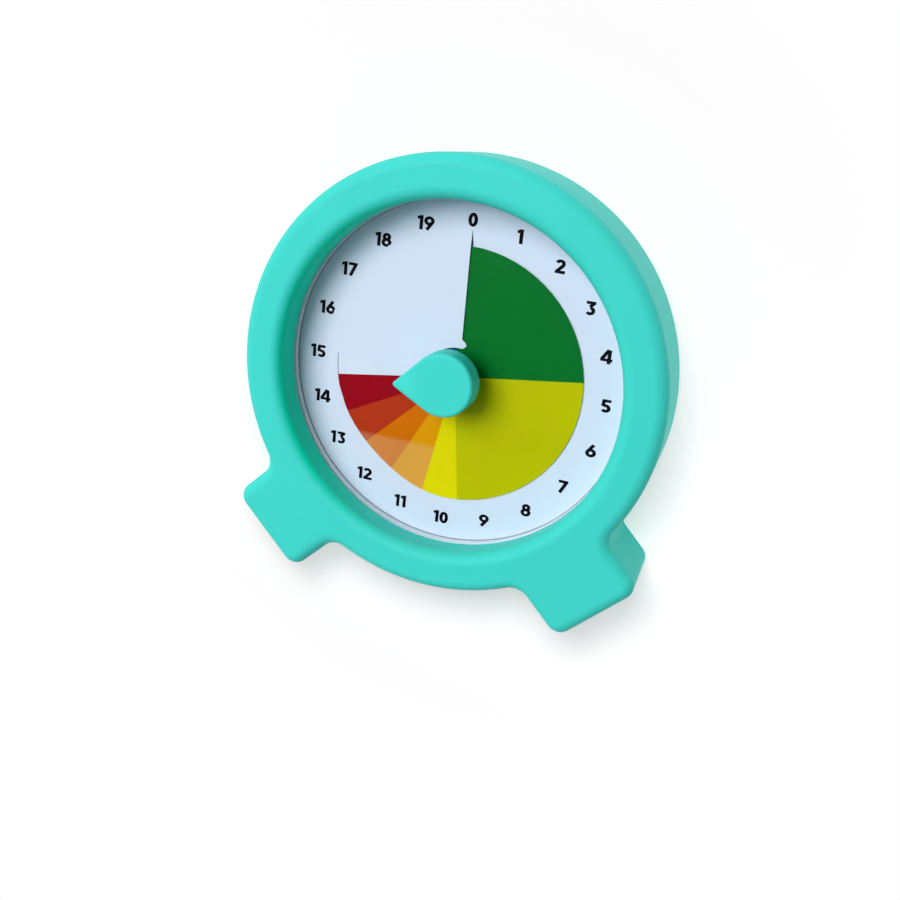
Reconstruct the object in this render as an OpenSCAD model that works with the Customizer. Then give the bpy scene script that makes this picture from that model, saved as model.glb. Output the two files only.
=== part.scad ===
// Visual countdown timer: a wind-up timer of up to nineteen minutes. A coloured film turns
// with the knob, passes through a slit in the dial and shows how much time is left.
// Row frame: X right, Y towards the back, Z up. The origin is on the ground, under the
// middle of the case. Sub-parts are drawn in the dial frame: x right, y up, z towards the
// viewer, with z = 0 on the printed face. Dial angles run clockwise from twelve o'clock.

/* [Case] */
// Outer diameter of the round case
case_d = 180; // [165:1:220]
// Depth of the case, front to back
case_depth = 38; // [38:0.5:50]
// Wall thickness of the case
wall = 2.5; // [2:0.1:3]
// Rounding of the front edges
front_round = 5; // [4:0.5:6]
// Rounding of the back edge
back_round = 2; // [1:0.1:2.2]
// Radius of the front opening at its lip
bore_lip_r = 72.6; // [70:0.1:74]
// Radius of the front opening at the lens
bore_foot_r = 73.2; // [72:0.1:74]

/* [Legs] */
// Width of a leg
leg_w = 42.5; // [30:0.1:46]
// Reach of a leg's end from the dial's centre
leg_reach = 113.2; // [108:0.1:125]
// Distance of a leg's middle line below the radial line
leg_drop = 4.6; // [0:0.1:6]
// Angle of each leg from straight down
leg_angle = 45; // [38:1:50]
// Corner radius of a leg
leg_corner = 6.3; // [5.5:0.1:8]
// Fillet between a leg and the round case
leg_fillet = 8; // [3:0.5:9]

/* [Dial] */
// Depth of the printed face behind the front of the case
dial_set = 19.7; // [18:0.1:22]
// Thickness of the printed face
face_t = 0.4; // [0.3:0.05:0.5]
// Radius of the hole around the hub
face_hole_r = 12.5; // [11:0.1:14]
// Radius where the slit ends
slit_end_r = 61; // [58:0.1:62]
// Rise of the face and the film over one turn
film_pitch = 1.4; // [1.3:0.05:1.6]
// Thickness of the coloured film
film_t = 0.3; // [0.2:0.05:0.35]
// Radius of the coloured film
film_r = 54.3; // [50:0.1:54.5]
// How far the film's edge is drawn in between its round part and its tab
film_draw = 2.2; // [0:0.1:3]
// Dial angle that the coloured sectors reach
set_angle = 261; // [90:1:340]
// Width of the film's clear leading margin, in degrees
film_margin = 10; // [5:1:10]
// Thickness of the lens
lens_t = 2; // [1.5:0.1:2.1]
// Radius of the lens's hole
lens_hole_r = 7.5; // [7:0.1:9]

/* [Knob] */
// Radius of the knob's round head
knob_r = 13.3; // [12:0.1:15]
// Distance of the pointer's tip from the axis
knob_tip = 21.3; // [19:0.1:24]
// Height of the knob
knob_h = 10.3; // [8:0.1:11]
// Height of the knob's back above the face
knob_lift = 8; // [6:0.1:8.5]
// Radius of the main arbor
arbor_r = 3; // [2.5:0.1:3.5]
// Radial play of shafts in their bores
play = 0.05; // [0.03:0.01:0.08]

/* [Movement] */
// Tooth module of the main wheel and its pinion
main_module = 0.6; // [0.5:0.05:0.65]
// Teeth of the main wheel
main_teeth = 70; // [60:10:70]
// Tooth module of the second wheel and the escape pinion
second_module = 0.5; // [0.4:0.05:0.55]
// Teeth of the second wheel
second_teeth = 60; // [50:10:60]
// Leaves of both pinions
pinion_leaves = 10; // [10:1:12]
// Teeth of the escape wheel
escape_teeth = 25; // [20:1:30]
// Radius of the bell
bell_r = 20; // [16:0.5:20]

/* [Hidden] */
$fn = 64;

// Levels in the dial frame, from the front of the case to its back
case_r = case_d / 2;
z_front = dial_set;
z_lip = z_front - front_round;
z_back = dial_set - case_depth;
z_lens_ledge = 3;
z_bore_foot = z_lens_ledge + lens_t + 0.1;
z_tray_top = -2.1;
tray_t = 1.6;
z_tray_back = z_tray_top - tray_t;
cover_t = 2.2;
z_cover = z_back + cover_t;
plate_t = 1;
z_front_plate = z_tray_back - 0.9;
z_movement = z_front_plate - plate_t;
z_rear_plate = z_cover + 1.4 + plate_t;
z_spring = z_movement - 0.3;
spring_h = 3;
z_ratchet = z_spring - spring_h - 0.5;
wheel_t = 0.8;
z_main_wheel = z_ratchet - wheel_t - 0.2;
z_train = z_main_wheel - wheel_t - 0.6;
z_escape = z_movement - 0.6;
z_balance = z_escape - 2.2;

// Round case: facets, the wall round the opening and the front's thickness
case_facets = 180;
bore_wall = 2.2;
front_t = wall + 1;
tube_r = bore_foot_r + bore_wall;

// Legs: how far their faces lie inside those of the round case
leg_setback = 0.2;
// A leg starts inside the round case's front, and inside its wall below that
leg_root_r = case_r - front_round - 0.5;
leg_wall_r = case_r - wall + 0.5;
// Step between the cover's seat in a leg and the hollow above it
seat_step = 0.1;

// Case bosses and screws
boss_r = 3.5;
boss_at = (tube_r + case_r - wall) / 2;
cover_boss_angles = [30:60:330];
tray_boss_angles = [45:90:315];
screw_r = 1.25;
screw_gap = 0.15;
screw_head_r = 2.8;
screw_head_h = 1.1;
screw_length = 8;
drive_span = 3.2;
drive_w = 0.8;
drive_depth = 0.7;
cover_gap = 0.2;
sound_slot_count = 5;

// The tray that carries the face, the lens and the movement
tray_r = boss_at - boss_r - 1.2;
lens_r = bore_foot_r + 0.9;
tray_land_r = slit_end_r + 1.3;
tray_hole_r = 10.5;

// Face and film
face_r = bore_foot_r - 0.2;
ramp_r = film_r + 1.2;
slit_gap = 0.5;
slit_x_hub = 1.4;
slit_x_end = 0.5;
// Rounded tab at the slit's foot: distance from the hole's edge, and overhang
slit_tab = [[0, 0.4], [0.8, 1.4], [1.9, 2.2], [2.8, 1.6], [3.8, 0]];
film_inner_r = 8;
film_tab_inset = 0.3;
film_tab_angle = 8.5;
film_draw_angle = 81;
film_level = -face_t / 2;
hub_r = film_inner_r + 0.3;
knob_bore_end = knob_lift + knob_h - 3;

// Arbor flats, pivots and wheels
flat_at = arbor_r * 0.8;
pivot_r = 0.7;
train_arbor_r = 1.2;
rear_pivot_r = 1.5;
main_r = main_teeth * main_module / 2;
second_pinion_r = pinion_leaves * main_module / 2;
second_r = second_teeth * second_module / 2;
escape_pinion_r = pinion_leaves * second_module / 2;
second_angle = 220;
escape_angle = 285;
second_at = polar(main_r + second_pinion_r, second_angle);
escape_at = second_at + polar(second_r + escape_pinion_r, escape_angle);
escape_r = 9;
anchor_reach = 12.6;
anchor_at = escape_at + [anchor_reach, 0];
pallet_angle = 48;
pallet_pin_r = 0.5;
pallet_at = escape_r + 0.95;
cam_r = 6;
ratchet_r = 8;
ratchet_teeth = 16;
click_at = 13;
click_angle = 40;
spring_r = 13.9;
spring_turns = 7;
spring_t = 0.35;
cup_wall = 0.8;
hammer_at = [20, -24];
hammer_head_at = [28.6, -10];
hammer_head_r = 2.2;
bell_at = [hammer_head_at[0] + hammer_head_r + 0.9 + bell_r, hammer_head_at[1]];
bell_h = 6;
bell_wall = 1;
z_bell = z_train + bell_h - 1;
plate_min = [-38, -46];
plate_max = [27, 26];
pillar_r = 2.4;
pillar_inset = 5;
pillar_at = [
    for (x = [plate_min[0] + pillar_inset, plate_max[0] - pillar_inset])
        for (y = [plate_min[1] + pillar_inset, plate_max[1] - pillar_inset]) [x, y]
];

// Height of the dial's centre when the legs' lower corners stand on the ground
dial_h = (leg_reach - leg_corner) * cos(leg_angle)
    + (leg_w / 2 + leg_drop - leg_corner) * sin(leg_angle) + leg_corner;

// Colours
teal = "#46d6c2";
white = "#eef3f8";
steel = "#a9adb2";
brass = "#c9a24a";

// A point at a radius and a mathematical angle
function polar(r, a) = [r * cos(a), r * sin(a)];
// A point at a radius and a dial angle, clockwise from twelve o'clock
function dial_point(r, a) = [r * sin(a), r * cos(a)];
// Points of an arc about a centre
function arc(c, r, a0, a1, n = 6) =
    [for (i = [0:n]) c + polar(r, a0 + (a1 - a0) * i / n)];
// A rectangle with four corner radii, from its lower left corner, anticlockwise
function rounded_box(lo, hi, r) = concat(
    arc(lo + [r[0], r[0]], r[0], 180, 270),
    arc([hi[0] - r[1], lo[1] + r[1]], r[1], 270, 360),
    arc(hi - [r[2], r[2]], r[2], 0, 90),
    arc([lo[0] + r[3], hi[1] - r[3]], r[3], 90, 180)
);

// Puts the dial frame in the row frame
module in_row() {
    translate([0, dial_set - case_depth / 2, dial_h])
        rotate([90, 0, 0])
            children();
}

// A straight cylinder between two levels
module rod(r, z0, z1) {
    translate([0, 0, min(z0, z1)])
        cylinder(r = r, h = abs(z1 - z0));
}

// A flat disc ring between two levels
module washer(r_out, r_in, z0, z1) {
    difference() {
        rod(r_out, z0, z1);
        rod(r_in, min(z0, z1) - 1, max(z0, z1) + 1);
    }
}

// A flat-head screw with a cross recess: the head's seat is at z = 0, the head points to negative z
module screw(length) {
    difference() {
        union() {
            rod(screw_head_r, 0, -screw_head_h);
            rod(screw_r, -screw_head_h / 2, length);
        }
        for (turn = [0, 90])
            rotate(turn)
                translate([-drive_span / 2, -drive_w / 2, -screw_head_h - 1])
                    cube([drive_span, drive_w, 1 + drive_depth]);
    }
}

// The clock tooth of a wheel or a pinion, as six points between radii
module toothed_disc(teeth, pitch_r, depths, shares, t) {
    radii = [pitch_r - depths[0], pitch_r, pitch_r + depths[1]];
    linear_extrude(t)
        polygon([
            for (i = [0:teeth - 1], k = [0:5])
                let (j = k < 3 ? k : 5 - k, side = k < 3 ? -1 : 1)
                polar(radii[j], (i + side * shares[j]) * 360 / teeth)
        ]);
}

module clock_wheel(teeth, m) {
    toothed_disc(teeth, teeth * m / 2, [1.4 * m, m], [0.27, 0.22, 0.08], wheel_t);
}

module clock_pinion(leaves, m, t) {
    toothed_disc(leaves, leaves * m / 2, [1.6 * m, 0.7 * m], [0.17, 0.15, 0.06], t);
}

// Four spokes' windows of a wheel, as one cutter
module spoke_windows(r_out, r_in, spoke) {
    difference() {
        washer(r_out, r_in, -1, wheel_t + 1);
        for (a = [0, 90])
            rotate(a)
                translate([-r_out - 1, -spoke / 2, -2])
                    cube([2 * r_out + 2, spoke, wheel_t + 4]);
    }
}

// A bore with one flat, which turns with the main arbor
module flat_bore(z0, z1) {
    intersection() {
        rod(arbor_r + play, z0, z1);
        translate([-arbor_r - 1, -arbor_r - 1, min(z0, z1)])
            cube([2 * arbor_r + 2, arbor_r + 1 + flat_at + play, abs(z1 - z0)]);
    }
}

// Turns the arbor's frame so that its flat follows the knob's pointer
module on_arbor() {
    rotate(-set_angle)
        children();
}

// ---- Case ----

// A leg lies along x in its own frame. side is 1 for the right leg and -1 for the left one.
module leg_frame(side) {
    rotate(270 + side * leg_angle)
        children();
}

// The lower and the upper edge of a leg in its own frame
function leg_low(side) = -leg_w / 2 - side * leg_drop;
function leg_high(side) = leg_w / 2 - side * leg_drop;

// Plan of a leg, drawn in by an inset. Its sides start at the radius root_r.
function leg_plan(side, inset, root_r) =
    let (low = leg_low(side) + inset, high = leg_high(side) - inset, r = leg_corner - inset)
    concat(
        [[sqrt(root_r * root_r - high * high), high], [sqrt(root_r * root_r - low * low), low]],
        arc([leg_reach - inset - r, low + r], r, -90, 0),
        arc([leg_reach - inset - r, high - r], r, 0, 90)
    );

// Outline of the round case and both legs, drawn in by an inset
module case_plan(inset) {
    circle(case_r - inset, $fn = case_facets);
    for (side = [-1, 1])
        leg_frame(side)
            polygon(leg_plan(side, inset, tube_r - 8));
}

// A leg with rounded front edges, set a little behind the front of the round case
module leg_block(side) {
    low = leg_low(side);
    high = leg_high(side);
    top = z_front - leg_setback;
    edge = top - front_round;
    intersection() {
        translate([0, 0, z_back + leg_setback])
            linear_extrude(case_depth - 2 * leg_setback)
                polygon(leg_plan(side, 0, leg_root_r));
        rotate([90, 0, 90])
            translate([0, 0, leg_corner])
                linear_extrude(leg_reach)
                    polygon(concat(
                        [[low - 1, z_back - 1], [high + 1, z_back - 1]],
                        arc([high - front_round, edge], front_round, 0, 90, 5),
                        arc([low + front_round, edge], front_round, 90, 180, 5)
                    ));
    }
}

// The fillet between a leg's edge at y = q and the round case; out is 1 above, -1 below
module leg_root_fillet(q, out) {
    // Depths to which the fillet runs into the leg and the ring, and its bite across the ring
    dip = 0.4;
    root = 1.3;
    bite = 0.15;
    reach = case_r + leg_fillet - bite;
    centre_q = q + out * leg_fillet;
    centre = [sqrt(reach * reach - centre_q * centre_q), centre_q];
    in_ring = centre * (case_r - root) / reach;
    in_leg = [centre[0], q - out * dip];
    ring_turn = atan2(-centre[1], -centre[0]);
    leg_turn = -out * 90;
    translate([0, 0, z_back + 2 * leg_setback])
        linear_extrude(z_lip - z_back - 3 * leg_setback)
            polygon(concat(
                [in_ring],
                arc(centre, leg_fillet, ring_turn, leg_turn, 6),
                [in_leg, [in_ring[0], in_leg[1]]]
            ));
}

// The round body: outer wall, rounded front and the tube round the opening
module round_body() {
    rotate_extrude($fn = case_facets)
        polygon(concat(
            [[case_r - wall, z_back]],
            arc([case_r - back_round, z_back + back_round], back_round, -90, 0, 3),
            arc([case_r - front_round, z_lip], front_round, 0, 90, 5),
            arc([bore_lip_r + front_round, z_lip], front_round, 90, 180, 5),
            [
                [bore_foot_r, z_bore_foot],
                [tube_r, z_bore_foot],
                [tube_r, z_front - front_t],
                [case_r - wall, z_front - front_t]
            ]
        ));
}

// The hollow in a leg, open at the back
module leg_hollow(side) {
    translate([0, 0, z_back - 1])
        linear_extrude(case_depth - wall - 1)
            polygon(leg_plan(side, wall + seat_step, case_r + wall + 0.5));
}

// The seat for the back cover where it runs from the round case into a leg
module leg_seat(side) {
    translate([0, 0, z_back - 1])
        linear_extrude(cover_t + 1)
            polygon(leg_plan(side, wall, case_r - wall - 2));
}

// A screw boss that grows from the front wall
module case_boss(z_end) {
    translate([0, boss_at, 0])
        rod(boss_r, z_end, z_front - wall);
}

// Screw holes in the bosses that end at a level
module boss_holes(angles, z_end) {
    hole_depth = 9;
    for (a = angles)
        rotate(-a)
            translate([0, boss_at, 0])
                rod(screw_r + play, z_end - 1, z_end + hole_depth);
}

module case_shell() {
    color(teal)
        in_row()
            difference() {
                union() {
                    round_body();
                    for (side = [-1, 1])
                        leg_frame(side)
                            difference() {
                                union() {
                                    leg_block(side);
                                    leg_root_fillet(leg_high(side), 1);
                                    leg_root_fillet(leg_low(side), -1);
                                }
                                leg_hollow(side);
                                rod(leg_wall_r, z_back - 1, z_front - front_t + 0.3, $fn = case_facets);
                            }
                    for (a = cover_boss_angles)
                        rotate(-a)
                            case_boss(z_cover);
                    for (a = tray_boss_angles)
                        rotate(-a)
                            case_boss(z_tray_top);
                }
                for (side = [-1, 1])
                    leg_frame(side)
                        leg_seat(side);
                boss_holes(cover_boss_angles, z_cover);
                boss_holes(tray_boss_angles, z_tray_top);
            }
}

module back_cover() {
    inset = wall + cover_gap;
    slot_w = 2.4;
    slot_step = 6;
    color(teal)
        in_row()
            difference() {
                translate([0, 0, z_back])
                    linear_extrude(cover_t)
                        case_plan(inset);
                for (a = cover_boss_angles)
                    rotate(-a)
                        translate([0, boss_at, 0]) {
                            rod(screw_r + screw_gap, z_back - 1, z_cover + 1);
                            rod(screw_head_r + 0.2, z_back - 1, z_back + screw_head_h + 0.1);
                        }
                for (i = [0:sound_slot_count - 1])
                    translate([bell_at[0], bell_at[1] + (i - (sound_slot_count - 1) / 2) * slot_step,
                            z_back - 1])
                        linear_extrude(cover_t + 2)
                            polygon(rounded_box([-12, -slot_w / 2], [12, slot_w / 2],
                                [1.1, 1.1, 1.1, 1.1]));
            }
}

module case_screws() {
    color(steel)
        in_row()
            for (a = cover_boss_angles)
                rotate(-a)
                    translate([0, boss_at, z_back + screw_head_h + 0.1])
                        screw(screw_length);
}

// ---- Dial ----

module dial_tray() {
    ear_r = boss_r + 0.5;
    color(white)
        in_row() {
            difference() {
                union() {
                    rotate_extrude($fn = 180)
                        polygon([
                            [tray_hole_r, z_tray_back], [tray_r, z_tray_back],
                            [tray_r, z_bore_foot], [lens_r + 0.1, z_bore_foot],
                            [lens_r + 0.1, z_lens_ledge], [bore_foot_r, z_lens_ledge],
                            [bore_foot_r, -face_t], [tray_land_r, -face_t],
                            [tray_land_r, z_tray_top], [tray_hole_r, z_tray_top]
                        ]);
                    for (a = tray_boss_angles)
                        rotate(-a)
                            tray_ear(ear_r);
                }
                for (a = tray_boss_angles)
                    rotate(-a)
                        translate([0, boss_at, 0])
                            rod(screw_r + screw_gap, z_tray_back - 1, z_tray_top + 1);
                for (p = pillar_at)
                    translate([p[0], p[1], 0])
                        rod(screw_r + play, z_front_plate - 1, z_tray_top + 1);
            }
            for (p = pillar_at)
                translate([p[0], p[1], 0])
                    washer(boss_r, screw_r + play, z_front_plate, z_tray_back);
        }
}

// One ear of the tray, reaching its case boss
module tray_ear(ear_r) {
    translate([0, 0, z_tray_back]) {
        translate([0, boss_at, 0])
            cylinder(r = ear_r, h = tray_t);
        translate([-ear_r, tray_r - 3, 0])
            cube([2 * ear_r, boss_at - tray_r + 3, tray_t]);
    }
}

module tray_screws() {
    color(steel)
        in_row()
            for (a = tray_boss_angles)
                rotate(-a)
                    translate([0, boss_at, z_tray_back])
                        screw(screw_length);
}

module lens() {
    color([0.9, 0.95, 1, 0.3])
        in_row()
            translate([0, 0, z_lens_ledge])
                linear_extrude(lens_t)
                    difference() {
                        circle(lens_r, $fn = 180);
                        circle(lens_hole_r);
                    }
}

// Sideways place of the slit's edge at a radius: it leans over towards the hub
function slit_x(r) =
    slit_x_end + (slit_x_hub - slit_x_end) * max(slit_end_r - r, 0) / (slit_end_r - face_hole_r);
function slit_start(r) = asin((slit_x(r) + (r < slit_end_r ? slit_gap : 0)) / r);
function slit_stop(r) = 360 + asin((slit_x(r) + lookup(r - face_hole_r, slit_tab)) / r);
// Level of the face's front at a radius and a dial angle
function face_level(r, a) = r > ramp_r ? 0 : film_pitch * (a / 360 - 0.5);

// The printed face: a flat ring whose inside rises by one pitch round the hub
module dial_face() {
    n = 72;
    radii = concat([for (t = slit_tab) face_hole_r + t[0]], [ramp_r, slit_end_r, face_r]);
    rows = len(radii);
    cut_rows = rows - 2;
    function place(k, i) =
        let (r = radii[k], a = slit_start(r) + (slit_stop(r) - slit_start(r)) * i / n)
        [r * sin(a), r * cos(a), face_level(r, a)];
    // The rows cut by the slit hold n + 1 places; the last two close on themselves
    function count(k) = k < cut_rows ? n + 1 : n;
    function first(k) = k == 0 ? 0 : first(k - 1) + count(k - 1);
    function at(k, i) = first(k) + (k < cut_rows ? i : i % n);
    total = first(rows);
    front = [for (k = [0:rows - 1], i = [0:count(k) - 1]) place(k, i)];
    back = [for (p = front) p - [0, 0, face_t]];
    skin = [for (k = [0:rows - 2], i = [0:n - 1], half = [0, 1])
        half == 0 ? [at(k, i), at(k + 1, i), at(k + 1, i + 1)]
            : [at(k, i), at(k + 1, i + 1), at(k, i + 1)]];
    inner = [for (i = [0:n - 1]) [at(0, i), at(0, i + 1)]];
    outer = [for (i = [0:n - 1]) [at(rows - 1, i + 1), at(rows - 1, i)]];
    lips = concat(
        [for (k = [0:cut_rows - 1]) [at(k + 1, 0), at(k, 0)]],
        [for (k = [0:cut_rows - 1]) [at(k, n), at(k + 1, n)]]
    );
    color(white)
        in_row()
            polyhedron(concat(front, back), concat(
                [for (f = skin) [f[0], f[2], f[1]]],
                [for (f = skin) [f[0] + total, f[1] + total, f[2] + total]],
                [for (e = concat(inner, outer, lips)) each [
                    [e[0], e[0] + total, e[1] + total],
                    [e[0], e[1] + total, e[1]]
                ]]
            ));
}

// ---- Film and knob ----

// The coloured film: one turn of a sheet that rises by one pitch round the hub
module film_disc() {
    n = 72;
    last = set_angle + film_margin;
    tab = set_angle - film_tab_angle;
    draw = set_angle - film_draw_angle;
    // The edge is round, then drawn in along a shallow curve, then steps out to the tab
    function film_edge(a) =
        let (share = (a - draw) / (tab - draw))
        a > tab ? film_r - film_tab_inset
            : film_r - (a > draw ? film_draw * (0.82 * pow(sin(180 * share), 2) + 0.36 * share) : 0);
    function level(a) = film_level + film_pitch * a / 360;
    angles = [for (i = [0:n]) last - 360 + 360 * i / n];
    // At each angle: inner back, outer back, outer front, inner front
    points = [for (a = angles, c = [[0, -1], [1, -1], [1, 1], [0, 1]])
        let (r = c[0] == 0 ? film_inner_r : film_edge(a), p = dial_point(r, a))
        [p[0], p[1], level(a) + c[1] * film_t / 2]];
    sides = [for (i = [0:n - 1], k = [0:3])
        let (u = 4 * i + k, v = 4 * i + (k + 1) % 4) each [[u, v, v + 4], [u, v + 4, u + 4]]];
    color("gold")
        in_row()
            polyhedron(points, concat(sides, [[3, 2, 1, 0], [4 * n, 4 * n + 1, 4 * n + 2, 4 * n + 3]]));
}

// The collar that grips the film and slides on the arbor's flat
module film_hub() {
    color("royalblue")
        in_row()
            on_arbor()
                difference() {
                    rod(hub_r, film_level - 1.1, film_level + 1.8);
                    flat_bore(-5, 5);
                }
}

module knob() {
    tip_r = 1.2;
    edge = 1.4;
    edge_steps = 4;
    stem_r = lens_hole_r - 1.5;
    stem_foot = z_lens_ledge + 0.4;
    reach = knob_tip - tip_r;
    lean = acos((knob_r - tip_r) / reach);
    // The outline, drawn in by an inset: the head's arc and the tip's small one
    function outline(inset) = concat(
        [for (i = [0:30]) polar(knob_r - inset, 90 + lean + (360 - 2 * lean) * i / 30)],
        [for (i = [0:6]) [0, reach] + polar(max(tip_r - inset, 0.05), 90 - lean + 2 * lean * i / 6)]
    );
    color(teal)
        in_row()
            on_arbor()
                difference() {
                    union() {
                        translate([0, 0, knob_lift])
                            linear_extrude(knob_h - edge)
                                polygon(outline(0));
                        for (i = [1:edge_steps]) {
                            a = 90 * i / edge_steps;
                            translate([0, 0, knob_lift + knob_h - edge - 0.01])
                                linear_extrude(edge * sin(a) + 0.01)
                                    polygon(outline(edge * (1 - cos(a - 12))));
                        }
                        rod(stem_r, knob_lift + 1, stem_foot);
                    }
                    flat_bore(0, knob_bore_end);
                }
}

module main_arbor() {
    color(steel)
        in_row()
            on_arbor() {
                intersection() {
                    rod(arbor_r, z_train - wheel_t - 0.2, knob_bore_end - 0.2);
                    union() {
                        translate([-5, -5, z_front_plate + 0.3])
                            cube([10, 5 + flat_at, 30]);
                        rod(arbor_r + 1, z_rear_plate, z_front_plate + 0.4);
                    }
                }
                rod(rear_pivot_r, z_train - wheel_t, z_rear_plate - plate_t - 0.1);
            }
}

// ---- Movement ----

module main_wheel() {
    color(brass)
        in_row()
            translate([0, 0, z_main_wheel - wheel_t])
                rotate(second_angle)
                    difference() {
                        clock_wheel(main_teeth, main_module);
                        rod(arbor_r, -1, wheel_t + 1);
                        rotate(45)
                            spoke_windows(main_r - 3.2, 8.6, 9);
                    }
}

module ratchet_wheel() {
    color(steel)
        in_row()
            translate([0, 0, z_ratchet - wheel_t])
                difference() {
                    linear_extrude(wheel_t)
                        polygon([
                            for (i = [0:ratchet_teeth - 1], k = [0, 1])
                                polar(k == 0 ? ratchet_r : ratchet_r - 1.2,
                                    second_angle + (i + 0.06 * k) * 360 / ratchet_teeth)
                        ]);
                    rod(arbor_r, -1, wheel_t + 1);
                }
}

// The stud on the main wheel that the click turns on
module click_stud() {
    color(steel)
        in_row()
            rotate(second_angle + click_angle)
                translate([click_at, 0, 0])
                    rod(0.8, z_main_wheel, z_ratchet + 0.4);
}

module click() {
    // The nose rests in a gap of the ratchet, just clear of its teeth
    nose = polar(ratchet_r - 0.35, second_angle + 0.6 * 360 / ratchet_teeth);
    pivot = polar(click_at, second_angle + click_angle);
    along = (nose - pivot) / norm(nose - pivot);
    across = [-along[1], along[0]];
    color(steel)
        in_row()
            translate([0, 0, z_ratchet - wheel_t])
                difference() {
                    union() {
                        translate([pivot[0], pivot[1], 0])
                            cylinder(r = 1.8, h = wheel_t);
                        linear_extrude(wheel_t)
                            polygon([pivot + across * 1.2, pivot - across * 1.2, nose, nose + across * 0.3]);
                    }
                    translate([pivot[0], pivot[1], 0])
                        rod(0.8 + play, -1, wheel_t + 1);
                }
}

module trip_cam() {
    color(brass)
        in_row()
            on_arbor()
                translate([0, 0, z_train - wheel_t])
                    difference() {
                        cylinder(r = cam_r, h = wheel_t);
                        rod(arbor_r, -1, wheel_t + 1);
                        rotate(60)
                            translate([0, cam_r, -1])
                                cylinder(r = 1.5, h = wheel_t + 2);
                    }
}

module spring_cup() {
    color(steel)
        in_row()
            washer(spring_r + cup_wall, spring_r, z_spring - spring_h, z_movement);
}

// A flat spiral spring from the cup's wall to the arbor
module mainspring() {
    inner = arbor_r + 0.5;
    steps = spring_turns * 24;
    function reach(i) = inner + (spring_r - spring_t - inner) * i / steps;
    color("slategray")
        in_row()
            translate([0, 0, z_spring - spring_h])
                linear_extrude(spring_h)
                    polygon(concat(
                        [for (i = [0:steps]) polar(reach(i), i * 15)],
                        [for (i = [steps:-1:0]) polar(reach(i) + spring_t, i * 15)]
                    ));
}

module movement_plate(z) {
    translate([0, 0, z - plate_t])
        linear_extrude(plate_t)
            polygon(rounded_box(plate_min, plate_max, [4, 4, 4, 4]));
}

// Pivot holes of the train, the anchor and the hammer
module pivot_holes(z, main_hole_r) {
    rod(main_hole_r + play, z - plate_t - 1, z + 1);
    for (p = [second_at, escape_at, anchor_at, hammer_at])
        translate([p[0], p[1], 0])
            rod(pivot_r + play, z - plate_t - 1, z + 1);
    for (p = pillar_at)
        translate([p[0], p[1], 0])
            rod(screw_r + play, z - plate_t - 1, z + 1);
}

module front_plate() {
    color(brass)
        in_row()
            difference() {
                movement_plate(z_front_plate);
                pivot_holes(z_front_plate, arbor_r);
            }
}

module rear_plate() {
    color(brass)
        in_row()
            difference() {
                movement_plate(z_rear_plate);
                pivot_holes(z_rear_plate, rear_pivot_r);
            }
}

module plate_pillars() {
    color(steel)
        in_row()
            for (p = pillar_at)
                translate([p[0], p[1], 0])
                    washer(pillar_r, screw_r + play, z_rear_plate, z_movement);
}

module plate_screws() {
    head = 0.9;
    color(steel)
        in_row()
            for (p = pillar_at)
                translate([p[0], p[1], 0]) {
                    rod(2.2, z_rear_plate - plate_t - head, z_rear_plate - plate_t);
                    rod(screw_r, z_rear_plate - plate_t - head / 2, z_tray_back + 1);
                }
}

// An arbor between the plates, with a pivot at each end
module train_arbor(at) {
    color(steel)
        in_row()
            translate([at[0], at[1], 0]) {
                rod(train_arbor_r, z_rear_plate + 0.15, z_movement - 0.15);
                rod(pivot_r, z_rear_plate - plate_t, z_front_plate);
            }
}

module second_arbor() {
    train_arbor(second_at);
}

module second_pinion() {
    color(steel)
        in_row()
            translate([second_at[0], second_at[1], z_main_wheel - wheel_t - 0.3])
                rotate(second_angle + 180 + 180 / pinion_leaves)
                    difference() {
                        clock_pinion(pinion_leaves, main_module, wheel_t + 0.9);
                        rod(train_arbor_r, -1, 5);
                    }
}

module second_wheel() {
    color(brass)
        in_row()
            translate([second_at[0], second_at[1], z_train - wheel_t])
                rotate(escape_angle)
                    difference() {
                        clock_wheel(second_teeth, second_module);
                        rod(train_arbor_r, -1, wheel_t + 1);
                        rotate(45)
                            spoke_windows(second_r - 2.4, 4, 2.2);
                    }
}

module escape_arbor() {
    train_arbor(escape_at);
}

module escape_pinion() {
    color(steel)
        in_row()
            translate([escape_at[0], escape_at[1], z_train - wheel_t - 0.25])
                rotate(escape_angle + 180 + 180 / pinion_leaves)
                    difference() {
                        clock_pinion(pinion_leaves, second_module, wheel_t + 0.5);
                        rod(train_arbor_r, -1, 5);
                    }
}

module escape_wheel() {
    step = 360 / escape_teeth;
    color(brass)
        in_row()
            translate([escape_at[0], escape_at[1], z_escape - wheel_t])
                difference() {
                    linear_extrude(wheel_t)
                        polygon([
                            for (i = [0:escape_teeth - 1], k = [[0, 0], [0, 0.1], [-1.9, 0.35], [-1.9, 0.85]])
                                polar(escape_r + k[0], (i + k[1]) * step)
                        ]);
                    rod(train_arbor_r, -1, wheel_t + 1);
                    spoke_windows(escape_r - 3, 2.8, 1.6);
                }
}

module anchor_arbor() {
    train_arbor(anchor_at);
}

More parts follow.
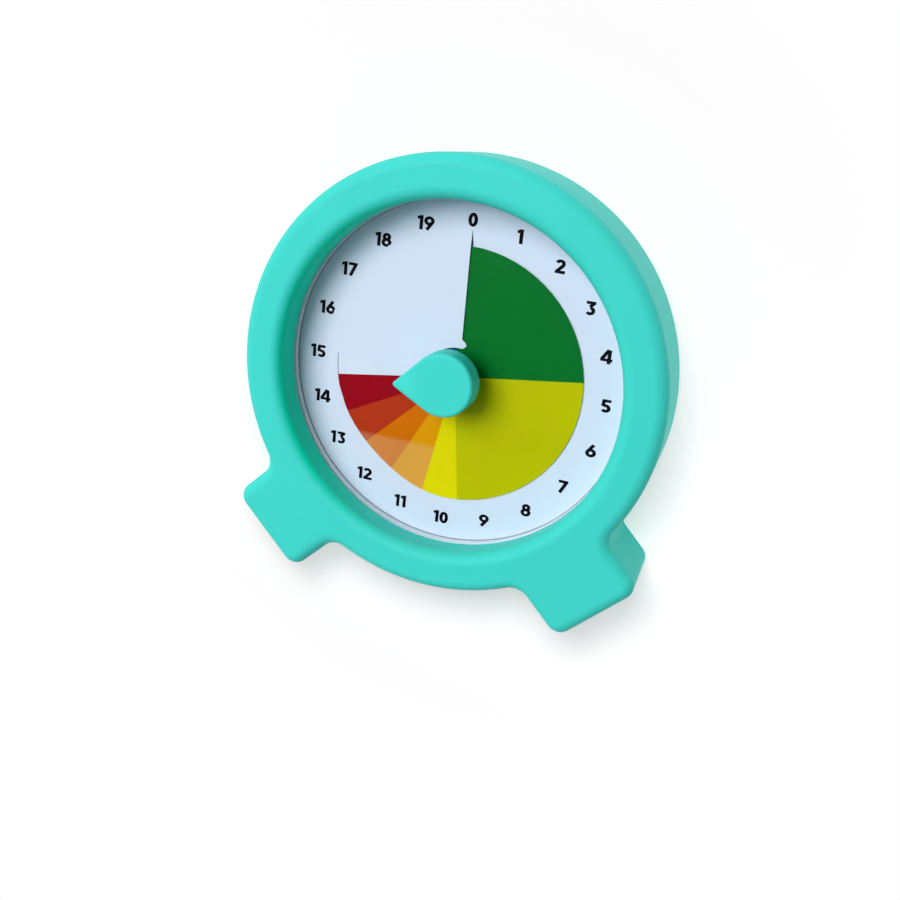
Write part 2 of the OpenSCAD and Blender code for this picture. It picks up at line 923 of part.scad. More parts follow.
module anchor() {
    arm_half = 0.5;
    color(steel)
        in_row()
            translate([escape_at[0], escape_at[1], z_escape - wheel_t])
                difference() {
                    union() {
                        translate([anchor_reach, 0, 0])
                            cylinder(r = 2.2, h = wheel_t);
                        for (side = [-1, 1]) {
                            pallet = polar(pallet_at, side * pallet_angle);
                            along = (pallet - [anchor_reach, 0]) / norm(pallet - [anchor_reach, 0]);
                            across = [-along[1], along[0]] * arm_half;
                            translate([pallet[0], pallet[1], 0])
                                cylinder(r = pallet_pin_r, h = wheel_t);
                            linear_extrude(wheel_t)
                                polygon([
                                    [anchor_reach, 0] + across, [anchor_reach, 0] - across,
                                    pallet - across, pallet + across
                                ]);
                        }
                    }
                    translate([anchor_reach, 0, 0])
                        rod(train_arbor_r, -1, wheel_t + 1);
                }
}

module balance_bar() {
    bar_half = 8;
    color(brass)
        in_row()
            translate([anchor_at[0], anchor_at[1], z_balance - wheel_t])
                difference() {
                    union() {
                        translate([-bar_half, -1.2, 0])
                            cube([2 * bar_half, 2.4, wheel_t]);
                        for (side = [-1, 1])
                            translate([side * bar_half, 0, -0.6])
                                cylinder(r = 2, h = wheel_t + 1.2);
                        cylinder(r = 2.2, h = wheel_t);
                    }
                    rod(train_arbor_r, -1, wheel_t + 1);
                }
}

// ---- Bell ----

module hammer_arbor() {
    train_arbor(hammer_at);
}

module hammer() {
    to_head = hammer_head_at - hammer_at;
    tail = hammer_at * (cam_r + 0.9) / norm(hammer_at);
    half = 1;
    function bar(from, to) =
        let (d = (to - from) / norm(to - from), w = [-d[1], d[0]] * half)
        [from + w, from - w, to - w, to + w];
    color(steel)
        in_row()
            difference() {
                union() {
                    translate([0, 0, z_train - wheel_t])
                        linear_extrude(wheel_t) {
                            polygon(bar(hammer_at, hammer_head_at));
                            polygon(bar(hammer_at, tail));
                        }
                    translate([hammer_at[0], hammer_at[1], 0])
                        rod(2.4, z_train - wheel_t, z_train);
                    translate([hammer_head_at[0], hammer_head_at[1], 0])
                        rod(hammer_head_r, z_train - wheel_t - 0.2, z_train + 2.4);
                }
                translate([hammer_at[0], hammer_at[1], 0])
                    rod(train_arbor_r, z_train - wheel_t - 1, z_train + 1);
            }
}

// The gong: a shallow dish, open to the back
module bell() {
    round_in = 4;
    color("silver")
        in_row()
            translate([bell_at[0], bell_at[1], z_bell - bell_h])
                rotate_extrude($fn = 96)
                    polygon(concat(
                        [[bell_r, 0]],
                        arc([bell_r - round_in, bell_h - round_in], round_in, 0, 90),
                        [[screw_r + play, bell_h], [screw_r + play, bell_h - bell_wall]],
                        arc([bell_r - round_in, bell_h - round_in], round_in - bell_wall, 90, 0),
                        [[bell_r - bell_wall, 0]]
                    ));
}

module bell_post() {
    color(brass)
        in_row()
            translate([bell_at[0], bell_at[1], 0])
                washer(3.2, screw_r + play, z_bell, z_tray_back);
}

module bell_screw() {
    color(steel)
        in_row()
            translate([bell_at[0], bell_at[1], z_bell - bell_wall])
                screw(z_tray_back - z_bell + bell_wall - 0.2);
}

case_shell();
back_cover();
case_screws();
dial_tray();
tray_screws();
lens();
dial_face();
film_disc();
film_hub();
knob();
main_arbor();
main_wheel();
ratchet_wheel();
click();
click_stud();
trip_cam();
spring_cup();
mainspring();
front_plate();
rear_plate();
plate_pillars();
plate_screws();
second_arbor();
second_wheel();
second_pinion();
escape_arbor();
escape_wheel();
escape_pinion();
anchor_arbor();
anchor();
balance_bar();
hammer_arbor();
hammer();
bell();
bell_post();
bell_screw();
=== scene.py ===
import math

import bmesh
import bpy
from bpy.props import FloatProperty, FloatVectorProperty, PointerProperty
from mathutils import Euler, Matrix, Vector


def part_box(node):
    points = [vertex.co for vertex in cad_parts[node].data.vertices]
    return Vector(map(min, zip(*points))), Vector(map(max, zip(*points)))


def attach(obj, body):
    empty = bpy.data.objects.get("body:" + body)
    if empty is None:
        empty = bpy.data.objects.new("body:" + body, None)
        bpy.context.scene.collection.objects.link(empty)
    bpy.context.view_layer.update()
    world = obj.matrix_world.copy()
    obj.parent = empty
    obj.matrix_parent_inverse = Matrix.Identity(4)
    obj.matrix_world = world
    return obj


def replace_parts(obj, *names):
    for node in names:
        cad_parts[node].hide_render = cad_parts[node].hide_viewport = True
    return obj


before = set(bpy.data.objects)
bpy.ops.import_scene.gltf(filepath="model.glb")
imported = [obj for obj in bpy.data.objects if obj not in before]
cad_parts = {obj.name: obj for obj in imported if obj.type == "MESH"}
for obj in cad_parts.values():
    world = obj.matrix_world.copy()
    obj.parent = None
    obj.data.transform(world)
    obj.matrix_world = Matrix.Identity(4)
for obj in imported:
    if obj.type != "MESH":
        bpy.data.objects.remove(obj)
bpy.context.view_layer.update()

bl_info = {
    "name": "Countdown timer",
    "version": (1, 0, 0),
    "blender": (4, 5, 0),
    "location": "View3D > Sidebar > Timer",
    "description": "Builds the finish of a round countdown timer around its frame",
    "category": "Add Mesh",
}

MM = 0.001

# ---- Places taken from the frame ----

CASE_LOW, CASE_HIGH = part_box("case_shell")
KNOB_LOW, KNOB_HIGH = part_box("knob")
LENS_LOW, LENS_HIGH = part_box("lens")

RING_R = (CASE_HIGH.x - CASE_LOW.x) / 2
DIAL_H = CASE_HIGH.z - RING_R
# The card's printed face lies this far behind the middle of the lens
CARD_DEPTH = 4 * MM
# The printed face, where the dial frame's z is 0
DIAL_Y = (LENS_LOW.y + LENS_HIGH.y) / 2 + CARD_DEPTH
Z_FRONT = DIAL_Y - CASE_LOW.y
Z_BACK = DIAL_Y - CASE_HIGH.y
# Dial frame (x right, y up, z towards the viewer) to the shared frame
DIAL_TO_FRAME = Matrix.Translation((0, DIAL_Y, DIAL_H)) @ Matrix.Rotation(math.pi / 2, 4, "X")
MINUTE_ANGLE = math.radians(18)
# The clockwise angle to which the knob is set at rest, where the film's colours end
SET_DEGREES = 261


# ---- Settings ----

def srgb(red, green, blue):
    """A colour given as 0 to 255 screen values, as Blender's linear one."""
    def linear(c):
        c = c / 255
        return c / 12.92 if c <= 0.04045 else ((c + 0.055) / 1.055) ** 2.4
    return tuple(linear(c) for c in (red, green, blue))


def length(name, description, default):
    return FloatProperty(
        name=name, description=description, default=default, unit="LENGTH", precision=5)


def colour(name, description, default):
    return FloatVectorProperty(
        name=name, description=description, default=srgb(*default), subtype="COLOR", min=0, max=1)


def factor(name, description, default, low, high):
    return FloatProperty(
        name=name, description=description, default=default, min=low, max=high, subtype="FACTOR")


def power(name, description, default):
    return FloatProperty(name=name, description=description, default=default, unit="POWER")


class CaseSettings(bpy.types.PropertyGroup):
    plastic: colour("Plastic", "Colour of the case and the knob", (68, 222, 211))
    front_round: length("Front rounding", "Radius of the front edges", 5 * MM)
    back_round: length("Back rounding", "Radius of the back edge", 2.2 * MM)
    wall: length("Wall", "Thickness of the case's wall", 2.5 * MM)
    lip_r: length("Opening", "Radius of the front opening at its lip", 72.6 * MM)
    foot_r: length("Opening's foot", "Radius of the front opening at its foot", 73.2 * MM)
    foot_wall: length("Foot wall", "Thickness of the opening's wall at its foot", 2.2 * MM)
    foot_level: length("Foot level", "Height of the opening's foot above the dial", 5.1 * MM)
    leg_w: length("Leg width", "Width of a leg", 42.5 * MM)
    leg_drop: length("Leg offset", "How far a leg sits below its own axis", 4.6 * MM)
    leg_reach: length("Leg reach", "Distance of a leg's end from the dial's centre", 113.2 * MM)
    leg_corner: length("Leg corner", "Radius of a leg's corners", 6.3 * MM)
    leg_fillet: length("Leg fillet", "Radius where a leg meets the round case", 8 * MM)


class KnobSettings(bpy.types.PropertyGroup):
    head_r: length("Head", "Radius of the knob's head", 13.3 * MM)
    tip: length("Tip", "Distance of the tip from the axis", 21.3 * MM)
    tip_r: length("Tip radius", "Radius of the tip", 1.3 * MM)
    edge: length("Edge", "Rounding of the front edge", 1.5 * MM)
    under_edge: length("Under edge", "Rounding of the back edge", 0.8 * MM)
    thickness: length("Thickness", "Thickness of the head", 10.3 * MM)
    stem_r: length("Stem", "Radius of the stem under the head", 5.9 * MM)


class DialSettings(bpy.types.PropertyGroup):
    card: colour("Card", "Colour of the printed card", (218, 230, 250))
    ink: colour("Ink", "Colour of the numerals", (2, 5, 14))
    numeral_r: length("Numeral circle", "Radius of the circle through the numerals", 64 * MM)
    numeral_h: length("Numeral height", "Height of a numeral", 5.65 * MM)
    widen: factor("Width", "How far the numerals are widened", 1.17, 0.8, 1.4)
    stroke: factor("Stroke", "Stroke of a numeral as a share of its height", 0.235, 0.1, 0.3)


class StageSettings(bpy.types.PropertyGroup):
    camera_at: FloatVectorProperty(
        name="Camera", description="Place of the camera", subtype="TRANSLATION", unit="LENGTH",
        default=(0.1157, -0.3650, 0.1977))
    camera_turn: FloatVectorProperty(
        name="Camera rotation", description="Rotation of the camera", subtype="EULER", unit="ROTATION",
        default=tuple(math.radians(a) for a in (70.556, -5.982, 19.498)))
    lens: FloatProperty(
        name="Lens", description="Focal length in millimetres", default=37.782, unit="CAMERA")
    key: power("Key light", "Power of the key light", 49.4)
    right: power("Side light", "Power of the light from the right", 0.85)
    low: power("Low light", "Power of the light from below", 0.32)
    near: power("Surface light", "Power of the light on the surface", 1.75)
    sky: factor("Sky", "Strength of the even light", 0.185, 0, 2)


# ---- Mesh helpers ----

# Faces that meet at more than this have a sharp edge between them
SHARP_ANGLE = math.radians(35)
# Points nearer to each other than this become one
MERGE_GAP = 1e-7


def polar(r, angle):
    return Vector((r * math.cos(angle), r * math.sin(angle)))


def arc(centre, r, start, end, steps):
    """Points of an arc about a centre."""
    return [Vector(centre) + polar(r, start + (end - start) * i / steps) for i in range(steps + 1)]


def at_level(points, z):
    return [Vector((p.x, p.y, z)) for p in points]


def skin(bm, rows):
    """Extrudes a closed first row of points from row to row, and returns the last row's edges."""
    loop = [bm.verts.new(p) for p in rows[0]]
    edges = [bm.edges.new(pair) for pair in zip(loop, loop[1:] + loop[:1])]
    for row in rows[1:]:
        made = bmesh.ops.extrude_edge_only(bm, edges=edges)["geom"]
        new = {e for e in made if isinstance(e, bmesh.types.BMVert)}
        edges = [e for e in made if isinstance(e, bmesh.types.BMEdge) and set(e.verts) <= new]
        loop = [next(e.other_vert(v) for e in v.link_edges if e.other_vert(v) in new) for v in loop]
        for v, p in zip(loop, row):
            v.co = p
    return edges


def cap(bm, edges):
    """Closes a loop of edges with one face."""
    bmesh.ops.contextual_create(bm, geom=edges)


def cap_open_ends(bm):
    """Closes every loop of edges that is still open."""
    cap(bm, [e for e in bm.edges if e.is_boundary])


def finish_mesh(bm, name, finish, body, matrix=DIAL_TO_FRAME):
    """Turns a bmesh in the dial frame into a finished piece that rides on a body."""
    bmesh.ops.remove_doubles(bm, verts=bm.verts, dist=MERGE_GAP)
    bmesh.ops.recalc_face_normals(bm, faces=bm.faces)
    bmesh.ops.transform(bm, matrix=matrix, verts=bm.verts)
    for face in bm.faces:
        face.smooth = True
    for edge in bm.edges:
        if len(edge.link_faces) == 2 and edge.calc_face_angle(0) > SHARP_ANGLE:
            edge.smooth = False
    mesh = bpy.data.meshes.new(name)
    bm.to_mesh(mesh)
    bm.free()
    mesh.materials.append(bpy.data.materials[finish])
    piece = bpy.data.objects.new(name, mesh)
    bpy.context.scene.collection.objects.link(piece)
    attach(piece, body)
    return piece


def round_to_front(z_0, r, steps):
    """(inset, z) steps of a quarter round of radius r, up from the side at z_0 to the front."""
    for i in range(steps + 1):
        a = math.pi / 2 * i / steps
        yield r * (1 - math.cos(a)), z_0 + r * math.sin(a)


def round_from_back(z_0, r, steps):
    """(inset, z) steps of a quarter round of radius r, out from the back at z_0 to the side."""
    for i in range(steps + 1):
        a = math.pi / 2 * i / steps
        yield r * (1 - math.sin(a)), z_0 + r * (1 - math.cos(a))


# ---- Material helpers ----

# Most of a noise's values lie between these
NOISE_SPREAD = (0.3, 0.7)


def new_group(name, inputs, outputs):
    """A shader node group with the given sockets, its input node and its output node."""
    tree = bpy.data.node_groups.new(name, "ShaderNodeTree")
    for socket, default in inputs.items():
        made = tree.interface.new_socket(name=socket, in_out="INPUT", socket_type="NodeSocketFloat")
        made.default_value = default
    for socket, kind in outputs.items():
        tree.interface.new_socket(name=socket, in_out="OUTPUT", socket_type=kind)
    return tree, tree.nodes.new("NodeGroupInput"), tree.nodes.new("NodeGroupOutput")


def node(tree, kind, **values):
    """A new node with its properties set, and its inputs where the name has one."""
    made = tree.nodes.new(kind)
    for key, value in values.items():
        if hasattr(made, key):
            setattr(made, key, value)
        else:
            made.inputs[key.replace("_", " ")].default_value = value
    return made


def link(tree, source, target):
    tree.links.new(source, target)


def feed(tree, value, socket):
    """Sets a socket to a number or a colour, or links it to another node's output."""
    if isinstance(value, bpy.types.NodeSocket):
        link(tree, value, socket)
    elif isinstance(value, (tuple, list)):
        socket.default_value = (*value[:3], 1)
    else:
        socket.default_value = value


def math_node(tree, operation, *values):
    made = node(tree, "ShaderNodeMath", operation=operation)
    for value, socket in zip(values, made.inputs):
        feed(tree, value, socket)
    return made.outputs[0]


def product(tree, first, *others):
    """All the values multiplied together."""
    for value in others:
        first = math_node(tree, "MULTIPLY", first, value)
    return first


def map_range(tree, source, span, to_low, to_high):
    """Carries a value across its span to a value from to_low to to_high."""
    made = node(tree, "ShaderNodeMapRange")
    for value, socket in zip((source, *span, to_low, to_high), made.inputs):
        feed(tree, value, socket)
    return made.outputs[0]


def mix_colours(tree, share, first, second):
    made = node(tree, "ShaderNodeMix", data_type="RGBA")
    for value, place in zip((share, first, second), (0, 6, 7)):
        feed(tree, value, made.inputs[place])
    return made.outputs[2]


def mix_shaders(tree, share, first, second):
    made = node(tree, "ShaderNodeMixShader")
    for value, socket in zip((share, first, second), made.inputs):
        feed(tree, value, socket)
    return made.outputs[0]


def add_shaders(tree, first, second):
    made = node(tree, "ShaderNodeAddShader")
    link(tree, first, made.inputs[0])
    link(tree, second, made.inputs[1])
    return made.outputs[0]


def noise(tree, place, scale, detail, roughness=0.5):
    """Noise on the given coordinates, at a scale that is a number or a socket."""
    made = node(tree, "ShaderNodeTexNoise", Detail=detail, Roughness=roughness)
    link(tree, place, made.inputs["Vector"])
    feed(tree, scale, made.inputs["Scale"])
    return made.outputs["Fac"]


def object_place(tree):
    """Object coordinates, which every pattern is laid on."""
    return node(tree, "ShaderNodeTexCoord").outputs["Object"]


def group_node(material, group, **values):
    made = material.node_tree.nodes.new("ShaderNodeGroup")
    made.node_tree = bpy.data.node_groups[group]
    for key, value in values.items():
        made.inputs[key].default_value = value
    return made


def make_grain_group():
    """Fine moulded grain: a height, and a broad mask that varies over the surface."""
    tree, start, end = new_group(
        "moulded_grain", {"Scale": 4000.0, "Patches": 30.0},
        {"Height": "NodeSocketFloat", "Mask": "NodeSocketFloat"})
    place = object_place(tree)
    link(tree, noise(tree, place, start.outputs["Scale"], 3.0, 0.6), end.inputs["Height"])
    link(tree, noise(tree, place, start.outputs["Patches"], 4.0, 0.55), end.inputs["Mask"])


def make_turned_group():
    """Fine marks of rolling or turning, drawn out along x, and a mask of broader blotches."""
    tree, start, end = new_group(
        "turned_marks", {"Scale": 1500.0}, {"Height": "NodeSocketFloat", "Mask": "NodeSocketFloat"})
    place = object_place(tree)
    stretch = node(tree, "ShaderNodeMapping", vector_type="POINT")
    stretch.inputs["Scale"].default_value = (0.04, 1.0, 1.0)
    link(tree, place, stretch.inputs["Vector"])
    marks = noise(tree, stretch.outputs["Vector"], start.outputs["Scale"], 2.0)
    link(tree, marks, end.inputs["Height"])
    link(tree, noise(tree, place, 90.0, 3.0), end.inputs["Mask"])


def make_flat_group():
    """The normal leaned towards the dial's axis, so that a warped sheet shades as a flat one."""
    tree, _, end = new_group("sheet_normal", {}, {"Normal": "NodeSocketVector"})
    squash = node(tree, "ShaderNodeVectorMath", operation="MULTIPLY")
    squash.inputs[1].default_value = (0.15, 1, 0.15)
    level = node(tree, "ShaderNodeVectorMath", operation="NORMALIZE")
    link(tree, node(tree, "ShaderNodeNewGeometry").outputs["Normal"], squash.inputs[0])
    link(tree, squash.outputs[0], level.inputs[0])
    link(tree, level.outputs[0], end.inputs["Normal"])


def make_angle_group():
    """Where a point lies on the dial: its clockwise angle as a share of a turn, its distance from
    the axis, and its height above the axis."""
    tree, _, end = new_group(
        "dial_angle", {},
        {"Turn": "NodeSocketFloat", "Radius": "NodeSocketFloat", "Height": "NodeSocketFloat"})
    split = node(tree, "ShaderNodeSeparateXYZ")
    link(tree, object_place(tree), split.inputs[0])
    across = split.outputs["X"]
    up = math_node(tree, "SUBTRACT", split.outputs["Z"], DIAL_H)
    share = math_node(tree, "DIVIDE", math_node(tree, "ARCTAN2", across, up), 2 * math.pi)
    turn = math_node(tree, "FRACT", math_node(tree, "ADD", share, 1.0))
    squares = math_node(tree, "ADD", product(tree, across, across), product(tree, up, up))
    link(tree, turn, end.inputs["Turn"])
    link(tree, math_node(tree, "SQRT", squares), end.inputs["Radius"])
    link(tree, up, end.inputs["Height"])


def new_material(name):
    material = bpy.data.materials.new(name)
    material.use_nodes = True
    return material, material.node_tree, material.node_tree.nodes["Principled BSDF"]


def vary_tone(tree, shader, mask, base, low, high):
    """Lets the base colour run from low to high times the base."""
    tone = mix_colours(tree, mask, scaled(base, low), scaled(base, high))
    link(tree, tone, shader.inputs["Base Color"])


def vary_roughness(tree, shader, mask, low, high, span=NOISE_SPREAD):
    """Lets the roughness run from low to high across a mask's span."""
    link(tree, map_range(tree, mask, span, low, high), shader.inputs["Roughness"])


def bump(tree, shader, height, strength, distance, normal=None):
    made = node(tree, "ShaderNodeBump", Strength=strength, Distance=distance)
    link(tree, height, made.inputs["Height"])
    if normal:
        link(tree, normal, made.inputs["Normal"])
    link(tree, made.outputs["Normal"], shader.inputs["Normal"])


def scaled(c, by):
    return tuple(min(1, v * by) for v in c)


def overlay(material, mask, tone):
    """Lays a tone over a material's base colour by a mask."""
    tree = material.node_tree
    base = tree.nodes["Principled BSDF"].inputs["Base Color"]
    link(tree, mix_colours(tree, mask, base.links[0].from_socket, tone), base)


def plastic(name, base, roughness, grain=0.05, grain_scale=3500.0, drift=0.05, gloss=0.2):
    """Moulded plastic: fine grain, and a slight drift of colour and of roughness."""
    material, tree, shader = new_material(name)
    marks = group_node(material, "moulded_grain", Scale=grain_scale, Patches=28.0)
    vary_tone(tree, shader, marks.outputs["Mask"], base, 1 - drift, 1 + drift)
    vary_roughness(tree, shader, marks.outputs["Mask"], roughness - 0.04, roughness + 0.05)
    shader.inputs["Specular IOR Level"].default_value = gloss
    bump(tree, shader, marks.outputs["Height"], grain, 0.05 * MM)
    return material


def metal(name, base, roughness, scale=1500.0):
    """Turned or rolled metal, with marks, tarnish and a varying roughness."""
    material, tree, shader = new_material(name)
    marks = group_node(material, "turned_marks", Scale=scale)
    height = marks.outputs["Height"]
    vary_tone(tree, shader, marks.outputs["Mask"], base, 0.78, 1.08)
    shader.inputs["Metallic"].default_value = 1.0
    vary_roughness(tree, shader, height, roughness - 0.08, roughness + 0.12, (0.25, 0.75))
    bump(tree, shader, height, 0.08, 0.02 * MM)


# ---- Materials of the timer ----

# The painted shade in the opening, a deeper tone, fades out between two radii, and sets in and ends at
# shares of a turn
SHADE_RADII = (73.4 * MM, 75.6 * MM)
SHADE_STARTS = (0.54, 0.64)
SHADE_ENDS = (0.9, 0.98)
# How far in front of the card the painted shade in the ring wall's corner begins, where it is darkest,
# and how much of the dark tone it takes there
CORNER_SHADE_LEVELS = (1.0 * MM, 0.5 * MM)
CORNER_SHADE_STRENGTH = 0.52

# Where the film's warm bands start and its clear leading margin ends, in degrees clockwise
WARM_START, MARGIN_END = 190, 272
# Where each colour of the film begins
FILM_BANDS = [
    (0, (0, 112, 40)),
    (82, (194, 197, 0)),
    (172.6, (232, 223, 0)),
    (WARM_START, (231, 158, 0)),
    (208, (216, 113, 0)),
    (226, (184, 54, 22)),
    (243, (154, 0, 24)),
    (SET_DEGREES, (224, 238, 255)),
    (MARGIN_END, (2, 84, 130)),
    (356, (0, 112, 40)),
]
# The painted reflection, a pale patch, ends between these angles, and lies below these heights from
# the axis
REFLECTION_ENDS = (236 / 360, 243 / 360)
REFLECTION_HEIGHTS = (-33.5 * MM, -31.5 * MM)
REFLECTION_STRENGTH = 0.16
# The radii across which the painted shadow line on the margin's outer edge sets in
EDGE_SHADOW_RADII = (53.45 * MM, 53.6 * MM)
EDGE_SHADOW_STRENGTH = 0.9
# Printed sheets have next to no mirror light
SHEET_GLOSS = 0.05


def colour_bands(tree, turn, bands):
    """Flat bands of colour against the dial angle, with sharp edges."""
    tone = srgb(*bands[0][1])
    for degrees, following in bands[1:]:
        past = math_node(tree, "GREATER_THAN", turn, degrees / 360)
        tone = mix_colours(tree, past, tone, srgb(*following))
    return tone


def case_material(base):
    """The case's plastic, with painted shade: a deeper tone painted on the shaded side of the front
    opening.
    """
    material = plastic("soft_touch_case", base, 0.46, grain=0.06, gloss=0.1)
    tree = material.node_tree
    dial = group_node(material, "dial_angle")
    turn = dial.outputs["Turn"]
    inside = map_range(tree, dial.outputs["Radius"], SHADE_RADII, 1, 0)
    begun = map_range(tree, turn, SHADE_STARTS, 0, 1)
    not_ended = map_range(tree, turn, SHADE_ENDS, 1, 0)
    # Painted shade: a deeper, more saturated teal laid over the opening's shaded side
    overlay(material, product(tree, inside, begun, not_ended), srgb(0, 233, 194))


def wall_material():
    """The pale wall round the card, with painted shade in the corner where the two meet."""
    material = plastic("ring_wall_plastic", srgb(226, 233, 242), 0.4)
    tree = material.node_tree
    split = node(tree, "ShaderNodeSeparateXYZ")
    link(tree, object_place(tree), split.inputs[0])
    span = [DIAL_Y - level for level in CORNER_SHADE_LEVELS]
    # Painted shade: a dark tone laid along the wall's corner with the card
    corner = map_range(tree, split.outputs["Y"], span, 0, CORNER_SHADE_STRENGTH)
    overlay(material, corner, srgb(64, 72, 92))


def film_material():
    """Printed film: bands of colour read from the angle, a painted reflection and a clear leading
    margin.
    """
    material, tree, shader = new_material("printed_film")
    dial = group_node(material, "dial_angle")
    mask = group_node(material, "moulded_grain", Scale=1800.0, Patches=35.0).outputs["Mask"]
    turn = dial.outputs["Turn"]
    tone = colour_bands(tree, turn, FILM_BANDS)
    # A painted reflection, a pale patch, lies over the outer part of the warm bands
    warm = product(tree, math_node(tree, "GREATER_THAN", turn, WARM_START / 360),
                   map_range(tree, turn, REFLECTION_ENDS, 1, 0))
    outer = map_range(tree, dial.outputs["Height"], REFLECTION_HEIGHTS, 1, 0)
    tone = mix_colours(tree, product(tree, warm, outer, REFLECTION_STRENGTH), tone, srgb(234, 216, 164))
    # A painted shadow, a grey line, runs along the clear margin's outer edge
    margin = product(tree, math_node(tree, "GREATER_THAN", turn, SET_DEGREES / 360),
                     math_node(tree, "LESS_THAN", turn, MARGIN_END / 360))
    edge = map_range(tree, dial.outputs["Radius"], EDGE_SHADOW_RADII, 0, EDGE_SHADOW_STRENGTH)
    tone = mix_colours(tree, product(tree, margin, edge), tone, srgb(120, 136, 160))
    uneven = map_range(tree, mask, NOISE_SPREAD, 0.0, 0.1)
    tone = mix_colours(tree, uneven, tone, (0.002, 0.004, 0.002))
    link(tree, tone, shader.inputs["Base Color"])
    vary_roughness(tree, shader, mask, 0.3, 0.4)
    shader.inputs["Specular IOR Level"].default_value = SHEET_GLOSS
    flat = group_node(material, "sheet_normal")
    bump(tree, shader, mask, 0.04, 0.3 * MM, flat.outputs["Normal"])


def card_material(base):
    """Smooth coated card."""
    material, tree, shader = new_material("coated_card")
    marks = group_node(material, "moulded_grain", Scale=2600.0, Patches=45.0)
    vary_tone(tree, shader, marks.outputs["Mask"], base, 0.97, 1.02)
    vary_roughness(tree, shader, marks.outputs["Mask"], 0.42, 0.54)
    shader.inputs["Specular IOR Level"].default_value = SHEET_GLOSS
    flat = group_node(material, "sheet_normal")
    bump(tree, shader, marks.outputs["Height"], 0.03, 0.02 * MM, flat.outputs["Normal"])


def lens_material():
    """Clear sheet that lets the lamps' light through to the dial."""
    material, tree, shader = new_material("clear_window")
    mask = group_node(material, "moulded_grain", Scale=900.0, Patches=22.0).outputs["Mask"]
    shader.inputs["Base Color"].default_value = (1, 1, 1, 1)
    shader.inputs["Metallic"].default_value = 0
    shader.inputs["Transmission Weight"].default_value = 1
    shader.inputs["IOR"].default_value = 1.04
    vary_roughness(tree, shader, mask, 0.0, 0.03, (0.45, 0.8))
    clear = node(tree, "ShaderNodeBsdfTransparent").outputs[0]
    rays = node(tree, "ShaderNodeLightPath").outputs
    light = math_node(tree, "MAXIMUM", rays["Is Shadow Ray"], rays["Is Diffuse Ray"])
    sheet = mix_shaders(tree, light, shader.outputs[0], clear)
    link(tree, sheet, tree.nodes["Material Output"].inputs["Surface"])


def make_materials(case, dial):
    """Every finish of the timer, by name."""
    make_grain_group()
    make_turned_group()
    make_flat_group()
    make_angle_group()
    teal = tuple(case.plastic)
    case_material(teal)
    plastic("soft_touch_knob", scaled(teal, 1.02), 0.42, gloss=0.1)
    wall_material()
    plastic("cover_plastic", scaled(teal, 0.94), 0.52, grain=0.12, grain_scale=2200.0)
    plastic("hub_plastic", srgb(214, 220, 226), 0.4)
    plastic("numeral_ink", tuple(dial.ink), 0.5, grain=0.02, drift=0.12, gloss=0.03)
    card_material(tuple(dial.card))
    film_material()
    lens_material()
    metal("pressed_brass", srgb(214, 178, 96), 0.3)
    metal("turned_steel", srgb(188, 190, 194), 0.26, scale=2400.0)
    metal("blued_spring", srgb(96, 104, 122), 0.32, scale=3000.0)
    metal("zinc_screw", srgb(176, 178, 180), 0.34, scale=2600.0)
    metal("bell_nickel", srgb(206, 204, 198), 0.2, scale=1200.0)


# The nodes that have each finish
FINISH_NODES = {
    "cover_plastic": ("back_cover",),
    "ring_wall_plastic": ("dial_tray",),
    "clear_window": ("lens",),
    "coated_card": ("dial_face",),
    "printed_film": ("film_disc",),
    "hub_plastic": ("film_hub",),
    "pressed_brass": ("main_wheel", "second_wheel", "escape_wheel", "trip_cam", "front_plate",
                      "rear_plate"),
    "turned_steel": ("main_arbor", "second_arbor", "escape_arbor", "anchor_arbor", "hammer_arbor",
                     "second_pinion", "escape_pinion", "ratchet_wheel", "click", "click_stud",
                     "plate_pillars", "anchor", "balance_bar", "hammer", "bell_post"),
    "zinc_screw": ("case_screws", "tray_screws", "plate_screws", "bell_screw", "spring_cup"),
    "blued_spring": ("mainspring",),
    "bell_nickel": ("bell",),
}


# ---- Case ----

# Each leg leans this many degrees out from straight down
LEG_LEAN = 45
# Steps of the outline's fillets and corners, and of the round case over and under the legs
FILLET_STEPS, CORNER_STEPS, OVER_STEPS, UNDER_STEPS = 10, 12, 132, 22
# Steps of the front and back roundings, a straight side and the round opening
FRONT_STEPS, BACK_STEPS, SIDE_STEPS, BORE_STEPS = 12, 6, 14, 240
# A drawn-in corner keeps at least this radius
LEAST_R = 0.05 * MM
# A straight side longer than this gets points of its own, the first this share from each end
SHORT_SIDE = 1.5 * MM
END_SHARE = 0.03
# A point this close to a level lies on it
LEVEL_GAP = 0.001 * MM
# The hollow turns almost sharply where the legs begin, as the back cover that closes it does
HOLLOW_CORNER = 0.3 * MM
# How much thicker the front wall is than the side walls
FRONT_EXTRA = 1 * MM
# A row of points this far from a rounding keeps its shading off the broad face beside it
CASE_GUARD = 0.35 * MM
# How much wider the opening is at that row than at its lip
LIP_FLARE = 0.02 * MM


